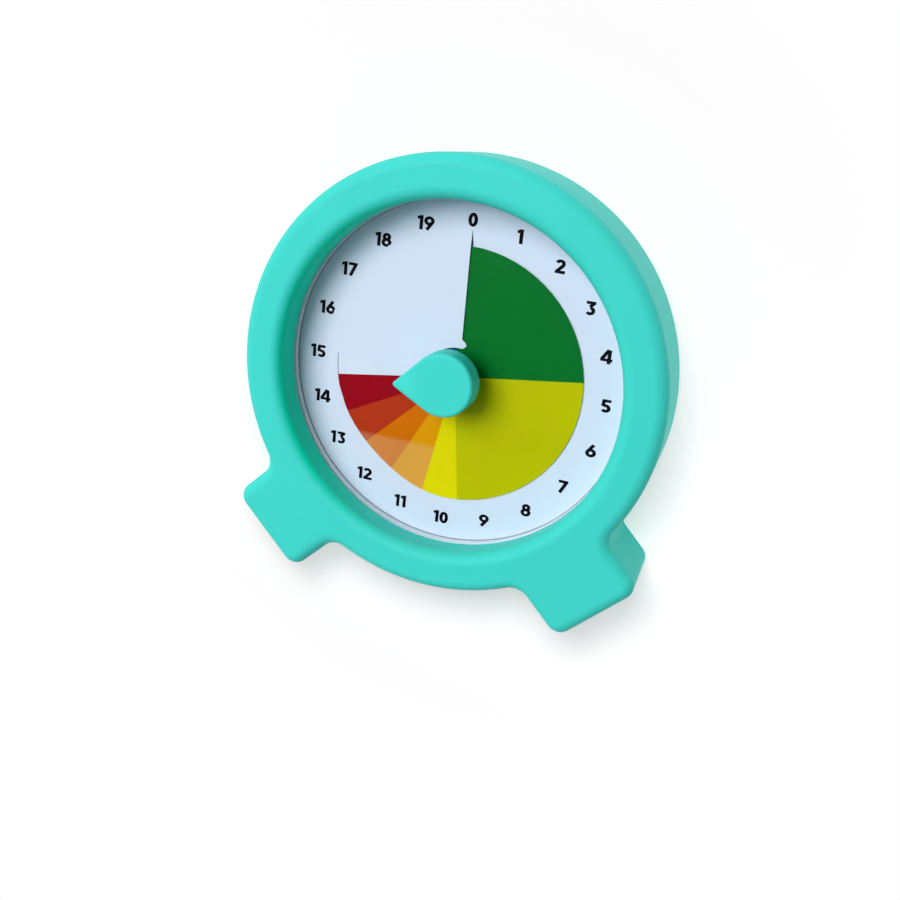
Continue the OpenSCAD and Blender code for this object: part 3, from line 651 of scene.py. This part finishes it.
def leg_arcs(case, side, fillet):
    """A leg's two root fillets and two corners, anticlockwise: centre, radius, start, end, steps
    and bulge, which is +1 for a corner and -1 for a fillet."""
    low = -case.leg_w / 2 - side * case.leg_drop
    high = case.leg_w / 2 - side * case.leg_drop
    corner = case.leg_corner
    reach = RING_R + fillet
    turn = math.radians(270 + side * LEG_LEAN)

    def placed(x, y, r, start, end, steps, bulge):
        centre = Matrix.Rotation(turn, 2) @ Vector((x, y))
        return centre, r, start + turn, end + turn, steps, bulge

    low_x = math.sqrt(reach ** 2 - (low - fillet) ** 2)
    high_x = math.sqrt(reach ** 2 - (high + fillet) ** 2)
    low_angle = math.atan2(fillet - low, -low_x)
    high_angle = math.atan2(-high - fillet, -high_x)
    end_x = case.leg_reach - corner
    quarter_turn = math.pi / 2
    return [
        placed(low_x, low - fillet, fillet, low_angle, quarter_turn, FILLET_STEPS, -1),
        placed(end_x, low + corner, corner, -quarter_turn, 0, CORNER_STEPS, 1),
        placed(end_x, high - corner, corner, 0, quarter_turn, CORNER_STEPS, 1),
        placed(high_x, high + fillet, fillet, -quarter_turn, high_angle, FILLET_STEPS, -1),
    ]


def case_arcs(case, fillet):
    """The case's outline, anticlockwise from above the right leg."""
    right, left = leg_arcs(case, 1, fillet), leg_arcs(case, -1, fillet)

    def toward(leg_arc):
        return math.atan2(leg_arc[0].y, leg_arc[0].x) % (2 * math.pi)

    middle = Vector((0, 0))
    over = (middle, RING_R, toward(right[3]) - 2 * math.pi, toward(left[0]), OVER_STEPS, 1)
    under = (middle, RING_R, toward(left[3]), toward(right[0]), UNDER_STEPS, 1)
    return [over, *left, under, *right]


def outline(arcs, inset, side_steps):
    """Points of an outline of arcs joined by straight lines, drawn in by an inset."""
    runs = [arc(centre, max(r - bulge * inset, LEAST_R), start, end, steps)
            for centre, r, start, end, steps, bulge in arcs]
    between = [END_SHARE + (1 - 2 * END_SHARE) * i / side_steps for i in range(side_steps + 1)]
    points = []
    for run, following in zip(runs, runs[1:] + runs[:1]):
        points += run
        start, end = run[-1], following[0]
        if (end - start).length > SHORT_SIDE:
            points += [start.lerp(end, share) for share in between]
        else:
            points.pop()
    return points


def flat_between_loops(bm, z):
    """Fills the flat ring between the two open loops of edges at a level."""
    loops = [e for e in bm.edges
             if e.is_boundary and all(abs(v.co.z - z) < LEVEL_GAP for v in e.verts)]
    bmesh.ops.triangle_fill(bm, edges=loops, use_beauty=True, normal=(0, 0, 1))


def build_case(case):
    """The hollow case: one skin goes from its ceiling round its wall to the front, and a second one
    from the front down the opening and back up to the ceiling."""
    arcs = case_arcs(case, case.leg_fillet)
    hollow = case_arcs(case, HOLLOW_CORNER - case.wall)
    lip_z = Z_FRONT - case.front_round
    lip_centre = case.lip_r + case.front_round
    tube_r = case.foot_r + case.foot_wall
    ceiling = Z_FRONT - case.wall - FRONT_EXTRA

    def side_row(inset, z):
        return at_level(outline(arcs, inset, SIDE_STEPS), z)

    def bore_row(r, z):
        return at_level(arc((0, 0), r, 0, 2 * math.pi, BORE_STEPS)[:-1], z)

    rows = [at_level(outline(hollow, case.wall, SIDE_STEPS), z) for z in (ceiling, Z_BACK)]
    rows += [side_row(i, z) for i, z in round_from_back(Z_BACK, case.back_round, BACK_STEPS)]
    rows.append(side_row(0, Z_BACK + case.back_round + CASE_GUARD))
    rows.append(side_row(0, lip_z - CASE_GUARD))
    rows += [side_row(i, z) for i, z in round_to_front(lip_z, case.front_round, FRONT_STEPS)]
    rows.append(side_row(case.front_round + CASE_GUARD, Z_FRONT))
    lip = arc((lip_centre, lip_z), case.front_round, math.pi / 2, math.pi, FRONT_STEPS)
    bore = [
        bore_row(lip_centre + CASE_GUARD, Z_FRONT),
        *(bore_row(r, z) for r, z in lip),
        bore_row(case.lip_r + LIP_FLARE, lip_z - CASE_GUARD),
        bore_row(case.foot_r, case.foot_level),
        bore_row(tube_r, case.foot_level),
        bore_row(tube_r, ceiling),
    ]
    bm = bmesh.new()
    skin(bm, rows)
    skin(bm, bore)
    flat_between_loops(bm, Z_FRONT)
    flat_between_loops(bm, ceiling)
    return finish_mesh(bm, "case_body", "soft_touch_case", "case")


# ---- Knob ----

# Steps of the head's arc, the tip's arc, a straight side, and the front and back roundings
HEAD_STEPS, TIP_STEPS, FLANK_STEPS, EDGE_STEPS, UNDER_EDGE_STEPS = 64, 10, 6, 8, 4
# As CASE_GUARD, for the knob's roundings
KNOB_GUARD = 0.25 * MM


def build_knob(knob):
    """The teardrop knob: its outline is the head's arc and the tip's small one."""
    at = knob.tip - knob.tip_r
    lean = math.acos((knob.head_r - knob.tip_r) / at)
    up = math.pi / 2
    arcs = [
        (Vector((0, 0)), knob.head_r, up + lean, up - lean + 2 * math.pi, HEAD_STEPS, 1),
        (Vector((0, at)), knob.tip_r, up - lean, up + lean, TIP_STEPS, 1),
    ]
    z_foot = DIAL_Y - KNOB_HIGH.y
    z_top = DIAL_Y - KNOB_LOW.y
    z_edge = z_top - knob.edge
    z_under = z_top - knob.thickness
    angles = [math.atan2(p.y, p.x) for p in outline(arcs, 0, FLANK_STEPS)]

    def stem_row(z):
        return at_level([polar(knob.stem_r, a) for a in angles], z)

    def head_row(inset, z):
        return at_level(outline(arcs, inset, FLANK_STEPS), z)

    rows = [stem_row(z_foot), stem_row(z_under), head_row(knob.under_edge + KNOB_GUARD, z_under)]
    rows += [head_row(i, z) for i, z in round_from_back(z_under, knob.under_edge, UNDER_EDGE_STEPS)]
    rows.append(head_row(0, z_under + knob.under_edge + KNOB_GUARD))
    rows.append(head_row(0, z_edge - KNOB_GUARD))
    rows += [head_row(i, z) for i, z in round_to_front(z_edge, knob.edge, EDGE_STEPS)]
    rows.append(head_row(knob.edge + KNOB_GUARD, z_top))
    bm = bmesh.new()
    cap(bm, skin(bm, rows))
    cap_open_ends(bm)
    turned = DIAL_TO_FRAME @ Matrix.Rotation(-math.radians(SET_DEGREES), 4, "Z")
    return finish_mesh(bm, "pointer_knob", "soft_touch_knob", "arbor_set", turned)


# ---- Numerals ----

# Points of a closed oval stroke, and steps of a part of a circle
OVAL_POINTS, BOWL_STEPS = 24, 12
# What a digit takes up along the line, in digit heights, with the gap that follows it
DIGIT_WIDTH = {0: 0.7, 1: 0.46}
COMMON_WIDTH = 0.78
DIGIT_GAP = 0.08
# Upright strokes are thicker than level ones
UPRIGHT, LEVEL = 1.12, 0.88
# The least cosine that the reach of a stroke's mitred corner is divided by
MITRE_LIMIT = 0.5
# The ink's underside above the card, its thickness, and how much higher each stroke lies
INK_LOW, INK_T, LAYER_STEP = 0.012 * MM, 0.03 * MM, 0.004 * MM
# The scale is printed a little off the card's centre, and the 0 a little further out
PRINT_SHIFT = Vector((0.25 * MM, -0.1 * MM))
ZERO_OUTWARDS = 0.7 * MM


def oval(cx, cy, rx, ry):
    """A closed oval stroke."""
    turns = [2 * math.pi * i / OVAL_POINTS for i in range(OVAL_POINTS)]
    return [(cx + rx * math.cos(a), cy + ry * math.sin(a)) for a in turns], True


def bowl(cx, cy, r, start, end):
    """Points along part of a circle, in degrees."""
    turns = [math.radians(start + (end - start) * i / BOWL_STEPS) for i in range(BOWL_STEPS + 1)]
    return [(cx + r * math.cos(a), cy + r * math.sin(a)) for a in turns]


def bar(*points):
    """An open stroke along the points."""
    return list(points), False


def digit_strokes(digit, h):
    """Centre lines of a digit one unit high whose strokes are 2h wide: points, and if they close."""
    six = [oval(0.345, 0.34, 0.345 - h, 0.34 - h), bar((0.14, 0.42), (0.48, 0.98))]
    shapes = {
        0: [oval(0.31, 0.5, 0.31 - h, 0.5 - h)],
        1: [bar((0.29, 0), (0.29, 1)), bar((0.03, 0.80), (0.29, 0.89))],
        2: [bar(*bowl(0.32, 0.68, 0.32 - h, 165, -40), (0.10, 0.09)), bar((0.03, h), (0.66, h))],
        3: [bar((0.06, 1 - h), (0.63, 1 - h)), bar((0.57, 0.93), (0.30, 0.58)),
            bar(*bowl(0.33, 0.32, 0.32 - h, 95, -148))],
        4: [bar((0.46, 1.0), (0.08, 0.29)), bar((0.0, 0.27), (0.74, 0.27)),
            bar((0.53, 0), (0.53, 1))],
        5: [bar((0.12, 1 - h), (0.62, 1 - h)), bar((0.18, 0.95), (0.145, 0.46)),
            bar(*bowl(0.32, 0.325, 0.325 - h, 128, -148))],
        6: six,
        7: [bar((0.03, 1 - h), (0.64, 1 - h)), bar((0.56, 0.93), (0.18, 0))],
        8: [oval(0.34, 0.715, 0.29 - h, 0.3 - h), oval(0.34, 0.315, 0.34 - h, 0.33 - h)],
        9: [([(0.69 - x, 1 - y) for x, y in points], closed) for points, closed in six],
    }
    return shapes[digit]


def stroke_rows(points, h, closed):
    """Left and right points of a stroke of half width h along its centre line."""
    line = [Vector(p) for p in points]
    rows = []
    for i, p in enumerate(line):
        before = line[i - 1] if closed or i else p
        after = line[(i + 1) % len(line)] if closed or i < len(line) - 1 else p
        one, two = p - before, after - p
        one = one.normalized() if one.length else two.normalized()
        two = two.normalized() if two.length else one
        along = (one + two).normalized()
        reach = h / max(along.dot(two), MITRE_LIMIT)
        side = Vector((-along.y * UPRIGHT, along.x * LEVEL)) * reach
        rows.append((p + side, p - side))
    return rows + rows[:1] if closed else rows


def build_numeral(value, dial):
    """One numeral in ink, upright on its circle, made of stroked digits."""
    digits = [int(d) for d in str(value)]
    h = dial.stroke / 2
    widths = [DIGIT_WIDTH.get(d, COMMON_WIDTH) * dial.widen for d in digits]
    circle_r = dial.numeral_r + (0 if value else ZERO_OUTWARDS)
    middle = polar(circle_r, math.pi / 2 - value * MINUTE_ANGLE) + PRINT_SHIFT
    bm = bmesh.new()
    x = (DIGIT_GAP - sum(widths)) / 2
    for digit, width in zip(digits, widths):
        corner = Vector((x, -0.5))
        for layer, (points, closed) in enumerate(digit_strokes(digit, h)):
            low = INK_LOW + layer * LAYER_STEP
            high = low + INK_T
            widened = [(px * dial.widen, py) for px, py in points]
            rows = []
            for pair in stroke_rows(widened, h, closed):
                left, right = (middle + (side + corner) * dial.numeral_h for side in pair)
                rows.append([Vector((*left, low)), Vector((*right, low)),
                             Vector((*right, high)), Vector((*left, high))])
            ends = skin(bm, rows)
            if not closed:
                cap(bm, ends)
                cap_open_ends(bm)
        x += width
    return finish_mesh(bm, f"numeral_{value}", "numeral_ink", "case")


# ---- Stage ----

# The surface stands this far behind the case, and reaches this far each way
SURFACE_GAP = 1.5 * MM
SURFACE_HALF = 3.0
# Between these distances from the dial's axis the surface turns into plain white
PLAIN_WHITE = (0.14, 0.18)
# The surface's tone right behind the near lamp, its glow where its tone is 0 and where it is 1,
# and the light that it gives back to the case
SURFACE_TONE = 0.325
GLOW_AT_BLACK, GLOW_AT_WHITE = 0.615, 0.478
GLOW_TINT = (1, 0.966, 0.97)
RETURNED_LIGHT = 0.35
# The lamp that lights the surface stands beside the camera, so that its shadow shows all round
NEAR_OFFSET = Vector((-0.062, 0, 0.1))
NEAR_SIZE = 0.21
# The lamps on the timer: setting, size, place from the dial's centre, and tint
LAMPS = (
    ("key", 1.5, (-0.84, -2.0, 0.8), (1, 1, 1)),
    ("low", 0.5, (-0.5, -0.6, -0.4), (1, 1, 1)),
    ("right", 0.2, (0.6, 0.05, 0.1), (0.42, 1.0, 0.74)),
)
SENSOR_WIDTH = 36


def area_light(name, power_w, size, at, aim, tint=(1, 1, 1)):
    lamp = bpy.data.lights.new(name, "AREA")
    lamp.energy = power_w
    lamp.size = size
    lamp.color = tint
    holder = bpy.data.objects.new(name, lamp)
    holder.location = at
    holder.rotation_euler = (aim - at).to_track_quat("-Z", "Y").to_euler()
    bpy.context.scene.collection.objects.link(holder)
    return holder


def light_only(lamp, piece, state):
    """Keeps a lamp's light to one piece with the state INCLUDE, or away from it with EXCLUDE."""
    pieces = bpy.data.collections.new(f"{lamp.name}_light")
    pieces.objects.link(piece)
    pieces.collection_objects[0].light_linking.link_state = state
    lamp.light_linking.receiver_collection = pieces


def emission(tree, tone=(1, 1, 1), strength=1.0):
    made = node(tree, "ShaderNodeEmission", Color=(*tone, 1))
    feed(tree, strength, made.inputs["Strength"])
    return made.outputs[0]


def seen_directly(tree):
    """One for what the camera sees, also in a reflection or through a clear sheet."""
    rays = node(tree, "ShaderNodeLightPath").outputs
    beyond = math_node(tree, "MAXIMUM", rays["Is Glossy Ray"], rays["Is Transmission Ray"])
    return math_node(tree, "MAXIMUM", rays["Is Camera Ray"], beyond)


def surface_material(lamp_foot, lamp_height):
    """The white surface behind the case: it takes a near lamp's shadow, and is open from behind."""
    material, tree, shader = new_material("pale_surface")
    marks = group_node(material, "moulded_grain", Scale=400.0, Patches=6.0)
    tone = mix_colours(tree, marks.outputs["Mask"], (0.60, 0.60, 0.60), (0.62, 0.62, 0.62))
    link(tree, tone, shader.inputs["Base Color"])
    shader.inputs["Roughness"].default_value = 0.9
    shader.inputs["Specular IOR Level"].default_value = 0.0
    side = node(tree, "ShaderNodeNewGeometry")

    def distance_from(point):
        away = node(tree, "ShaderNodeVectorMath", operation="DISTANCE")
        away.inputs[1].default_value = point
        link(tree, side.outputs["Position"], away.inputs[0])
        return away.outputs["Value"]

    # The tone makes up for the near lamp's falloff, so that the surface is evenly white
    share = math_node(tree, "DIVIDE", distance_from(lamp_foot), lamp_height)
    falloff = math_node(tree, "ADD", product(tree, share, share), 1.0)
    even = math_node(tree, "MINIMUM", product(tree, falloff, falloff, SURFACE_TONE), 1.0)
    lit = node(tree, "ShaderNodeBsdfDiffuse")
    link(tree, even, lit.inputs["Color"])
    glow = map_range(tree, even, (0, 1), GLOW_AT_BLACK, GLOW_AT_WHITE)
    shown = add_shaders(tree, lit.outputs[0], emission(tree, GLOW_TINT, glow))
    plain = map_range(tree, distance_from((0, lamp_foot.y, DIAL_H)), PLAIN_WHITE, 0, 1)
    shown = mix_shaders(tree, plain, shown, emission(tree))
    # What the case gets back from the surface, also through the narrow space behind it
    returned = add_shaders(tree, shader.outputs[0], emission(tree, strength=RETURNED_LIGHT))
    front = mix_shaders(tree, seen_directly(tree), returned, shown)
    clear = node(tree, "ShaderNodeBsdfTransparent").outputs[0]
    link(tree, mix_shaders(tree, side.outputs["Backfacing"], front, clear),
         tree.nodes["Material Output"].inputs["Surface"])
    return material


def build_surface(lamp_foot, lamp_height):
    """The upright surface behind the case, level with the near lamp's foot on it."""
    bm = bmesh.new()
    bmesh.ops.create_grid(bm, x_segments=1, y_segments=1, size=SURFACE_HALF)
    upright = Matrix.Translation((0, lamp_foot.y, DIAL_H)) @ Matrix.Rotation(math.pi / 2, 4, "X")
    bmesh.ops.transform(bm, matrix=upright, verts=bm.verts)
    mesh = bpy.data.meshes.new("surface")
    bm.to_mesh(mesh)
    bm.free()
    mesh.materials.append(surface_material(lamp_foot, lamp_height))
    surface = bpy.data.objects.new("surface", mesh)
    bpy.context.scene.collection.objects.link(surface)
    return surface


def build_world(sky):
    """White to look at, and a soft even light on everything else."""
    world = bpy.data.worlds.new("even_light")
    world.use_nodes = True
    tree = world.node_tree
    tree.nodes.clear()
    soft = node(tree, "ShaderNodeBackground", Color=(0.96, 0.98, 1, 1), Strength=sky)
    white = node(tree, "ShaderNodeBackground", Color=(1, 1, 1, 1), Strength=1.0)
    out = node(tree, "ShaderNodeOutputWorld")
    both = mix_shaders(tree, seen_directly(tree), soft.outputs[0], white.outputs[0])
    link(tree, both, out.inputs["Surface"])
    bpy.context.scene.world = world


def build_camera(stage):
    camera = bpy.data.cameras.new("camera")
    camera.lens = stage.lens
    camera.sensor_width = SENSOR_WIDTH
    camera.clip_start = 0.01
    camera.clip_end = 20
    holder = bpy.data.objects.new("camera", camera)
    holder.location = stage.camera_at
    holder.rotation_euler = Euler(stage.camera_turn)
    bpy.context.scene.collection.objects.link(holder)
    bpy.context.scene.camera = holder


# ---- Operators ----

class TimerSettings(bpy.types.PropertyGroup):
    case: PointerProperty(type=CaseSettings)
    knob: PointerProperty(type=KnobSettings)
    dial: PointerProperty(type=DialSettings)
    stage: PointerProperty(type=StageSettings)


class TIMER_OT_finishes(bpy.types.Operator):
    """Makes every material and puts the frame's nodes in theirs"""
    bl_idname = "timer.finishes"
    bl_label = "Finishes"

    def execute(self, context):
        make_materials(context.scene.timer.case, context.scene.timer.dial)
        for finish, names in FINISH_NODES.items():
            for name in names:
                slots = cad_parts[name].data.materials
                slots.clear()
                slots.append(bpy.data.materials[finish])
        return {"FINISHED"}


class TIMER_OT_case(bpy.types.Operator):
    """Builds the round case with its legs and its deep front opening"""
    bl_idname = "timer.case"
    bl_label = "Case"

    def execute(self, context):
        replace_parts(build_case(context.scene.timer.case), "case_shell")
        return {"FINISHED"}


class TIMER_OT_knob(bpy.types.Operator):
    """Builds the teardrop knob"""
    bl_idname = "timer.knob"
    bl_label = "Knob"

    def execute(self, context):
        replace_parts(build_knob(context.scene.timer.knob), "knob")
        return {"FINISHED"}


class TIMER_OT_numerals(bpy.types.Operator):
    """Prints the numerals 0 to 19 on the card"""
    bl_idname = "timer.numerals"
    bl_label = "Numerals"

    def execute(self, context):
        for value in range(20):
            build_numeral(value, context.scene.timer.dial)
        return {"FINISHED"}


class TIMER_OT_stage(bpy.types.Operator):
    """Sets up the surface, the lamps, the even light and the camera"""
    bl_idname = "timer.stage"
    bl_label = "Stage"

    def execute(self, context):
        stage = context.scene.timer.stage
        context.scene.view_settings.view_transform = "Standard"
        build_world(stage.sky)
        near_at = Vector(stage.camera_at) + NEAR_OFFSET
        near_foot = Vector((near_at.x, CASE_HIGH.y + SURFACE_GAP, near_at.z))
        surface = build_surface(near_foot, near_foot.y - near_at.y)
        centre = Vector((0, 0, DIAL_H))
        for name, size, offset, tint in LAMPS:
            lamp = area_light(name, getattr(stage, name), size, centre + Vector(offset), centre, tint)
            light_only(lamp, surface, "EXCLUDE")
        near = area_light("near", stage.near, NEAR_SIZE, near_at, near_foot)
        light_only(near, surface, "INCLUDE")
        build_camera(stage)
        return {"FINISHED"}


class TIMER_PT_panel(bpy.types.Panel):
    """The timer's steps and settings"""
    bl_idname = "TIMER_PT_panel"
    bl_label = "Countdown timer"
    bl_space_type = "VIEW_3D"
    bl_region_type = "UI"
    bl_category = "Timer"

    def draw(self, context):
        for operator in STEPS:
            self.layout.operator(operator.bl_idname)
        for part in ("case", "knob", "dial", "stage"):
            box = self.layout.box()
            group = getattr(context.scene.timer, part)
            for key in group.__annotations__:
                box.prop(group, key)


GROUPS = (CaseSettings, KnobSettings, DialSettings, StageSettings, TimerSettings)
STEPS = (TIMER_OT_finishes, TIMER_OT_case, TIMER_OT_knob, TIMER_OT_numerals, TIMER_OT_stage)


def register():
    for made in (*GROUPS, *STEPS, TIMER_PT_panel):
        bpy.utils.register_class(made)
    bpy.types.Scene.timer = PointerProperty(type=TimerSettings)


def unregister():
    del bpy.types.Scene.timer
    for made in reversed((*GROUPS, *STEPS, TIMER_PT_panel)):
        bpy.utils.unregister_class(made)


def main():
    register()
    bpy.ops.timer.finishes()
    bpy.ops.timer.case()
    bpy.ops.timer.knob()
    bpy.ops.timer.numerals()
    bpy.ops.timer.stage()


if __name__ == "__main__":
    main()
